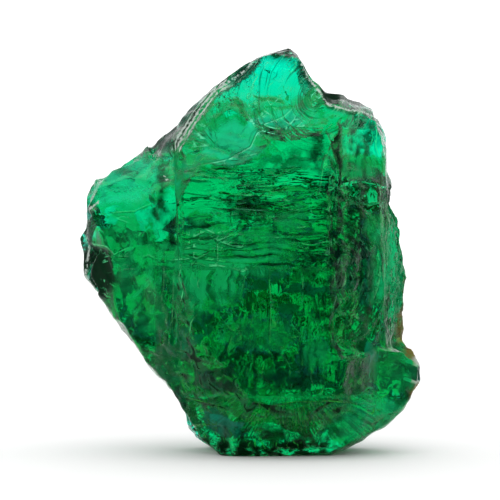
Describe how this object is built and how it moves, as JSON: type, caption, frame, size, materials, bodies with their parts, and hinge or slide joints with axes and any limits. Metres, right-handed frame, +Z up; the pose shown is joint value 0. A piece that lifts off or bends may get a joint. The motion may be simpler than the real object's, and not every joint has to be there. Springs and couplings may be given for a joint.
{
  "type": "rough emerald",
  "caption": "Rough uncut emerald: a broken piece of clear green beryl with shell-like fractures, level parting ledges and a rust-stained side, standing on a flat break.",
  "frame": {"origin": "middle of the stone's bounding box, at the flat break that it rests on", "axes": "+Z up along the crystal's own axis, towards the peak; +Y away from the viewer, through the stone's thin way; +X to the viewer's right"},
  "size_m": [0.0256, 0.0166, 0.0302],
  "materials": {
    "clear_beryl": "natural broken beryl: glassy and see-through, deep green by absorption, with a frosted and rust-stained crust along one side"
  },
  "bodies": {
    "root": {"emerald": "clear_beryl"}
  },
  "joints": []
}
